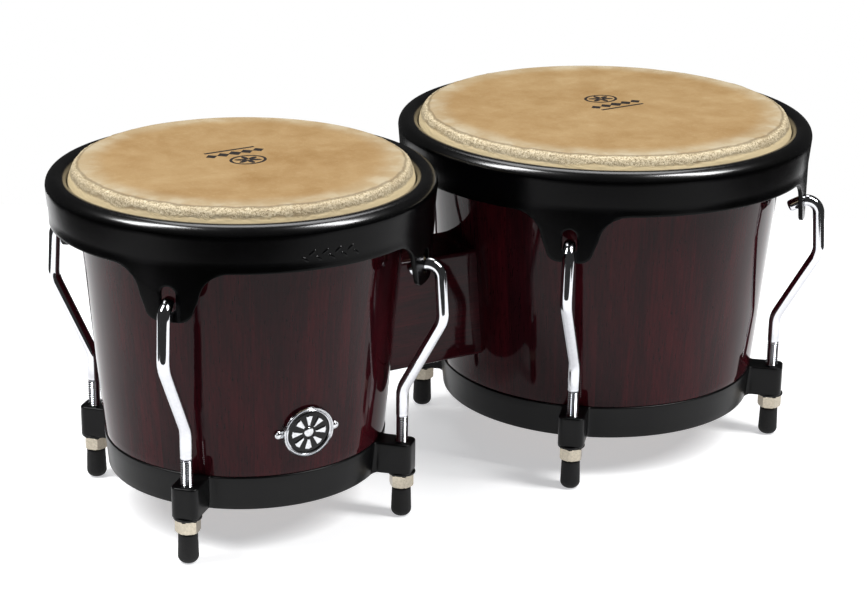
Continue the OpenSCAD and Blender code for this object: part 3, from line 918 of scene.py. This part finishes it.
def build_rod(d, k):
    """Tuning rod: rolled thread, double bend and hook, the hook turned to face the ear's slot."""
    path, hook = rod_path()
    hx, hz, ha = path[hook]
    ex, ez, ea = path[-1]
    slot_r = d.rim_r - RIM_LEAN - RIM_T / 2
    off = d.ear_angle(k) - d.lug_angle(k)
    aside = hx * math.sin(d.rod_aim) - slot_r * math.sin(off)
    outward = d.lug_r + hx * math.cos(d.rod_aim) - slot_r * math.cos(off)
    twist = math.atan2(aside, outward) - d.rod_aim
    n = 28
    crest, depth = 0.02, 0.58
    t = np.linspace(0, 2 * math.pi, n, endpoint=False)
    rows = []

    def row(x, z, a, radii):
        """Ring of vertices, turned about the upright's axis by its share of the hook's twist."""
        c1 = np.cos(t) * radii
        ring = np.stack([x + c1 * math.cos(a), np.sin(t) * radii, z - c1 * math.sin(a)], 1)
        share = min(max((len(rows) - 2 - hook + UPRIGHT_ROWS) / UPRIGHT_ROWS, 0), 1)
        axis = Vector((math.sin(ha), 0, math.cos(ha)))
        spin = np.array(Matrix.Rotation(twist * share, 3, axis))
        foot = np.array((hx, 0.0, hz))
        return (ring - foot) @ spin.T + foot

    rows.append(row(0, ROD_Z0, 0, np.full(n, 0.0)))
    rows.append(row(0, ROD_Z0, 0, np.full(n, 2.2)))
    for x, z, a in path:
        radii = np.full(n, ROD_R)
        if z < THREAD_Z1 and a == 0.0:
            phase = (z / PITCH - t / (2 * math.pi)) % 1.0
            tooth = np.clip(np.abs(phase - 0.5) * 2 * 1.25 - 0.12, 0, 1)
            fade = min(1, max(0, (z - 4.6) / 1.0)) * min(1, max(0, (55.2 - z) / 1.2))
            radii = ROD_R - crest - depth * tooth * fade
            radii = np.minimum(radii, 2.3 + (z - ROD_Z0) * 1.2)
        rows.append(row(x, z, a, radii))
    tip = [(math.sin(q), ROD_R - TIP_R + TIP_R * math.cos(q)) for q in np.linspace(0, math.pi / 2, 7)[1:]]
    for share, radius in tip + [(1.0, 0.0)]:
        ahead = TIP_R * share
        rows.append(row(ex + math.sin(ea) * ahead, ez + math.cos(ea) * ahead, ea, np.full(n, radius)))
    verts, faces = grid(np.array(rows), False, True)
    turn = d.lug_angle(k) + d.rod_aim
    co, si = math.cos(turn), math.sin(turn)
    px, py, _ = d.lug(k)
    world = np.stack([px + verts[:, 0] * co - verts[:, 1] * si,
                      py + verts[:, 0] * si + verts[:, 1] * co, verts[:, 2]], 1)
    ob = make(f"{d.name}_rod_{k}_chromed", (world, faces), MAT_CHROME, 45)
    return placed(ob, d.name + "_rim_set", "chrome", f"{d.name}_rod_{k}")


def build_nut(d, k):
    """Tall hex nut, its corners chamfered at both ends."""
    apothem = NUT_AF / 2
    n = 72
    turn = d.lug_angle(k)
    px, py, _ = d.lug(k)
    cols = []
    for i in range(n):
        t = 2 * math.pi * i / n
        flat = (t % (math.pi / 3)) - math.pi / 6
        hexr = apothem / math.cos(flat)
        col = [(BORE_R, 0.35), (BORE_R + 0.35, 0.0), (apothem - 0.75, 0.0)]
        for z in (0.18, 0.5, 0.8, 1.2):
            col.append((min(hexr, apothem - 0.2 + 1.03 * z) - (0.35 if z < 0.3 else 0.0), z))
        for z in (2.5, NUT_H - 2.5, NUT_H - 0.9, NUT_H - 0.45, NUT_H - 0.12):
            col.append((min(hexr, apothem + 0.05 + 1.7 * (NUT_H - z)), z))
        col += [(apothem - 0.25, NUT_H), (BORE_R + 0.35, NUT_H), (BORE_R, NUT_H - 0.35)]
        co, si = math.cos(t + turn), math.sin(t + turn)
        cols.append([(px + r * co, py + r * si, NUT_Z0 + z) for r, z in col])
    ob = make(f"{d.name}_hex_nut_{k}", grid(np.array(cols), True, True), MAT_NUT, 24)
    return placed(ob, f"{d.name}_nut_{k}_body", "nut_plate", f"{d.name}_nut_{k}")


def build_washers(d):
    r0, r1, z0, z1 = CLEAR_R, 7.1, BOSS_Z0 - WASHER_T, BOSS_Z0
    profile = rounded([(r0, z0, 0.15), (r1, z0, 0.35), (r1, z1, 0.35), (r0, z1, 0.15)])
    parts = [revolved(profile, 56, d.lug(k)[:2]) for k in RODS]
    ob = make(d.name + "_flat_washers", joined(*parts), MAT_WASHER, 30)
    return placed(ob, "root", "washer_black", d.name + "_washers")


def build_foot(d, k):
    """Moulded rubber foot: rounded tip, faint collar where it grips the rod, slightly dished sole."""
    tip, r = 3.6, 5.2
    outer = [(0, 0.12), (1.0, 0.1), (1.7, 0.0)] + arc((r - tip, tip), tip, -75, 0, 10)
    outer += [(r - 0.06, 5.5), (r - 0.14, 8.0), (r - 0.22, 10.5), (r - 0.3, 13.0)]
    outer += arc((r - 1.0, FOOT_H - 0.7), 0.65, 5, 85, 4)
    outer += [(BORE_R + 0.5, FOOT_H), (BORE_R, FOOT_H - 0.4), (BORE_R, 3.4), (0, 3.4)]
    px, py, _ = d.lug(k)
    ob = make(f"{d.name}_rubber_foot_{k}", revolved(outer, 56, (px, py)), MAT_RUBBER, 40)
    return placed(ob, "root", "foot_rubber", f"{d.name}_foot_{k}")


# ------------------------------------------------------------------ centre block
def build_block():
    """Block with rounded long edges, its ends hollowed to fit the two tapered shells."""
    y, z0, z1, r = BLOCK_Y, BLOCK_Z0, BLOCK_Z1, 1.6
    side = arc((y - r, z0 + r), r, -90, 0, 5)
    side += [(y, z) for z in np.linspace(z0 + r, z1 - r, 12)[1:-1]]
    side += arc((y - r, z1 - r), r, 0, 90, 5)
    across = np.linspace(-1, 1, 13)
    loop = [(side[0][0] * a, side[0][1]) for a in across[:-1]] + side[:-1]
    loop += [(side[-1][0] * a, side[-1][1]) for a in across[::-1][:-1]]
    loop += [(-yy, zz) for yy, zz in side[::-1][:-1]]

    def ends(yy, zz):
        a = SMALL.x + math.sqrt((SMALL.shell_at(zz) + SEAT_GAP) ** 2 - yy * yy)
        b = LARGE.x - math.sqrt((LARGE.shell_at(zz) + SEAT_GAP) ** 2 - yy * yy)
        return a, b

    body = []
    for yy, zz in loop:
        a, b = ends(yy, zz)
        body.append([(a + (b - a) * t, yy, zz) for t in np.linspace(0, 1, 9)])
    caps = []
    for which in (0, 1):
        rows = [[(ends(yy * a, zz)[which], yy * a, zz) for a in across] for yy, zz in side]
        caps.append(grid(rows))
    ob = make("block_body", joined(grid(body, True, False), *caps), MAT_BLOCK, 50)
    return placed(ob, "root", "block_lacquer", "centre_block")


# ------------------------------------------------------------------ badge
SEAT = -99.0


def flat_frame(mesh):
    """Carries (along, up, off) points to the badge's flat frame; off = SEAT lies on the shell."""
    verts, faces = mesh
    turn, lean = math.radians(BADGE_TURN), math.atan(TAPER)
    r = SMALL.shell_at(BADGE_Z)
    centre = np.array((SMALL.x + r * math.cos(turn), r * math.sin(turn), BADGE_Z))
    along = np.array((-math.sin(turn), math.cos(turn), 0.0))
    out = np.array((math.cos(turn) * math.cos(lean), math.sin(turn) * math.cos(lean), -math.sin(lean)))
    up = np.cross(out, along)
    world = []
    for x, y, h in verts:
        p = centre + x * along + y * up
        if h == SEAT:
            for _ in range(8):
                p = p - out * (math.hypot(p[0] - SMALL.x, p[1]) - SMALL.shell_at(p[2]) - SEAT_GAP)
        else:
            p = p + out * h
        world.append(p)
    return np.array(world), faces


def dome(cx, cy, h0, r, height, n=24):
    """Closed quarter-ellipse dome on a short skirt."""
    rows = []
    for q in np.linspace(0, 90, 6):
        c, s = math.cos(math.radians(q)), math.sin(math.radians(q))
        rows.append([(cx + r * c * math.cos(a), cy + r * c * math.sin(a), h0 + height * s)
                     for a in np.linspace(0, 2 * math.pi, n, endpoint=False)])
    rows.insert(0, [(cx + r * math.cos(a), cy + r * math.sin(a), h0 - 0.4)
                    for a in np.linspace(0, 2 * math.pi, n, endpoint=False)])
    verts, faces = grid(rows, False, True)
    faces.append(tuple(range(n)))
    return verts, faces


def build_badge():
    """Round plate with two pinned tabs, an enamel field and an eight-rayed rosette."""
    r, field_r = BADGE_R, BADGE_R - BADGE_BORDER
    border = [(field_r, SEAT), (r - 0.1, SEAT)]
    border += [(r, 0.9), (r - 0.15, 1.7), (r - 0.5, 2.15), (r - 0.85, 1.95), (r - 1.1, 1.35),
               (r - 1.3, 1.3), (r - 1.55, 1.75), (r - 1.9, 2.0), (r - 2.3, 1.7), (field_r, 1.1)]
    ring = revolved(border, 120)
    base = revolved([(0, SEAT), (r - 1, SEAT), (r - 1, 0.9), (0, 0.9)], 96)
    parts = [ring, base]
    turns = np.linspace(0, 2 * math.pi, 40, endpoint=False)
    for side in (-1, 1):
        cx = side * TAB_X
        outer = [(cx + 2.1 * math.cos(a), 2.1 * math.sin(a)) for a in turns]
        inner = [(cx + 0.9 * math.cos(a), 0.9 * math.sin(a)) for a in turns]
        loops = [[(x, y, h) for x, y in loop] for loop, h in
                 ((inner, SEAT), (outer, SEAT), (outer, -0.75))]
        loops.append([(cx + (x - cx) * 0.9, y * 0.9, -0.5) for x, y in outer])
        loops.append([(x, y, -0.5) for x, y in inner])
        parts.append(grid(np.array(loops), True, True))
        inner_x = side * (r - 0.8)
        outer_x = side * (TAB_X - 1.2)
        lug = [(inner_x, -2.3), (outer_x, -1.6), (outer_x, 1.6), (inner_x, 2.3)]
        parts.append(slab(lug, SEAT, -0.52))
    ob = make("badge_body", flat_frame(joined(*parts)), MAT_BADGE, 32)
    placed(ob, "root", "badge_chrome", "badge_plate")
    rows = [(0, 0.9), (field_r, 0.9), (field_r, 1.25), (field_r - 0.3, 1.4), (r * 0.4, 1.45), (0, 1.45)]
    field = make("badge_field", flat_frame(revolved(rows, 96)), MAT_ENAMEL, 40)
    placed(field, "root", "badge_enamel", "badge_enamel")
    parts = [dome(0, 0, 1.5, 2.5, 0.55)]
    for i in range(8):
        a = math.radians(45 * i)
        co, si = math.cos(a), math.sin(a)
        base_o = [(3.6, -0.5), (3.6, 0.5), (8.7, 1.85), (9.2, 0.0), (8.7, -1.85)]
        top_o = [(4.0, -0.2), (4.0, 0.2), (8.4, 1.4), (8.75, 0.0), (8.4, -1.4)]
        loops = []
        for o, h in ((base_o, 1.35), (base_o, 1.75), (top_o, 2.0)):
            loops.append([(x * co - y * si, x * si + y * co, h) for x, y in o])
        verts, faces = grid(loops, False, True)
        faces += [tuple(range(5)), tuple(range(14, 9, -1))]
        parts.append((verts, faces))
    rosette = make("badge_rosette", flat_frame(joined(*parts)), MAT_BADGE, 25)
    placed(rosette, "root", "badge_chrome", "badge_emblem")
    heads = joined(*[dome(side * TAB_X, 0, -0.45, 1.5, 0.8) for side in (-1, 1)])
    pins = make("badge_round_pins", flat_frame(heads), MAT_BADGE, 50)
    placed(pins, "root", "badge_chrome", "badge_pins")


# ------------------------------------------------------------------ everything together
for drum in DRUMS:
    build_shell(drum)
    build_head(drum)
    build_ring(drum)
    rim = build_rim(drum)
    placed(rim, drum.name + "_rim_set", "rim_black", drum.name + "_rim")
    build_washers(drum)
    for k in RODS:
        build_rod(drum, k)
        build_nut(drum, k)
        build_foot(drum, k)
placed(build_ornament(), "small_rim_set", "rim_black")
build_print(SMALL, centre=(1.3, 5.3), turn_deg=182.0)
build_print(LARGE, centre=(8.3, 7.1), turn_deg=2.0)
build_block()
build_badge()

for node_name, material in (
    ("small_flesh_hoop", MAT_HOOP), ("large_flesh_hoop", MAT_HOOP),
    ("small_backing_plate", MAT_STEEL), ("large_backing_plate", MAT_STEEL),
    ("block_bolts", MAT_STEEL), ("block_bolt_nuts", MAT_NUT),
):
    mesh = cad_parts[node_name].data
    mesh.materials.clear()
    mesh.materials.append(material)


# ------------------------------------------------------------------ floor, light, camera
def build_floor():
    """White table top under the drums. Upright faces mirror the dark room beyond its edges."""
    toward = np.array((-0.517, -0.856))     # from the drums to the camera, seen from above
    across = np.array((-toward[1], toward[0]))
    front, back, side = 0.415, -0.44, 0.5
    reaches = ((back, -side), (back, side), (front, side), (front, -side))
    corners = [toward * a + across * b for a, b in reaches]
    me = bpy.data.meshes.new("floor")
    me.from_pydata([(x, y, 0) for x, y in corners], [], [(0, 1, 2, 3)])
    ob = bpy.data.objects.new("floor", me)
    bpy.context.scene.collection.objects.link(ob)
    g = Graph("floor_white", Roughness=0.9, Specular_IOR_Level=0.1)
    g.bsdf.inputs["Base Color"].default_value = (0.8, 0.8, 0.8, 1)
    g.bsdf.inputs["Emission Color"].default_value = (0.97, 0.98, 1.0, 1)
    g.bsdf.inputs["Emission Strength"].default_value = 0.5
    me.materials.append(g.mat)


LIGHT_TARGET = Vector((0.0, 0.0, 0.1))


def soft_box(name, azimuth, elevation, distance, size, power):
    """Rectangular area light that faces LIGHT_TARGET, its size in metres and its power in watts."""
    data = bpy.data.lights.new(name, "AREA")
    data.shape = "RECTANGLE"
    data.size, data.size_y = size
    data.energy = power
    ob = bpy.data.objects.new(name, data)
    a, e = math.radians(azimuth), math.radians(elevation)
    aim = Vector((math.cos(e) * math.cos(a), math.cos(e) * math.sin(a), math.sin(e)))
    ob.location = LIGHT_TARGET + aim * distance
    ob.rotation_euler = aim.to_track_quat("Z", "Y").to_euler()
    bpy.context.scene.collection.objects.link(ob)


def build_world():
    """White behind the object for the camera, and a dark room for every other ray."""
    world = bpy.data.worlds.new("studio")
    bpy.context.scene.world = world
    world.use_nodes = True
    tree = world.node_tree
    back = tree.nodes["Background"]
    path = tree.nodes.new("ShaderNodeLightPath")
    strength = tree.nodes.new("ShaderNodeMapRange")
    tree.links.new(path.outputs["Is Camera Ray"], strength.inputs["Value"])
    strength.inputs["To Min"].default_value = 0.04
    strength.inputs["To Max"].default_value = 1.0
    tree.links.new(strength.outputs["Result"], back.inputs["Strength"])
    back.inputs["Color"].default_value = (1, 1, 1, 1)


def build_camera():
    """Camera at the viewing angle, from its turn, its downward pitch and a slight roll."""
    yaw, pitch, roll = 0.543862, 0.336539, 0.01608
    d = Vector((math.sin(yaw) * math.cos(pitch), math.cos(yaw) * math.cos(pitch), -math.sin(pitch)))
    r = d.cross(Vector((0, 0, 1))).normalized()
    u = r.cross(d)
    right = r * math.cos(roll) + u * math.sin(roll)
    up = u * math.cos(roll) - r * math.sin(roll)
    data = bpy.data.cameras.new("camera")
    data.sensor_width = 36.0
    data.lens = 96.41
    ob = bpy.data.objects.new("camera", data)
    place = Vector((-0.60795, -0.99771, 0.49823))
    rot = Matrix((right, up, -d)).transposed().to_4x4()
    ob.matrix_world = Matrix.Translation(place) @ rot
    bpy.context.scene.collection.objects.link(ob)
    bpy.context.scene.camera = ob


build_floor()
build_world()
VIEW = -121.2
soft_box("soft_box_left", VIEW - 70, 50, 1.5, (0.36, 0.85), 20)
soft_box("soft_box_right", VIEW + 70, 50, 1.5, (0.36, 0.85), 20)
soft_box("soft_box_back", VIEW + 180, 66, 1.6, (1.2, 0.8), 10)
build_camera()
bpy.context.scene.view_settings.view_transform = "Standard"
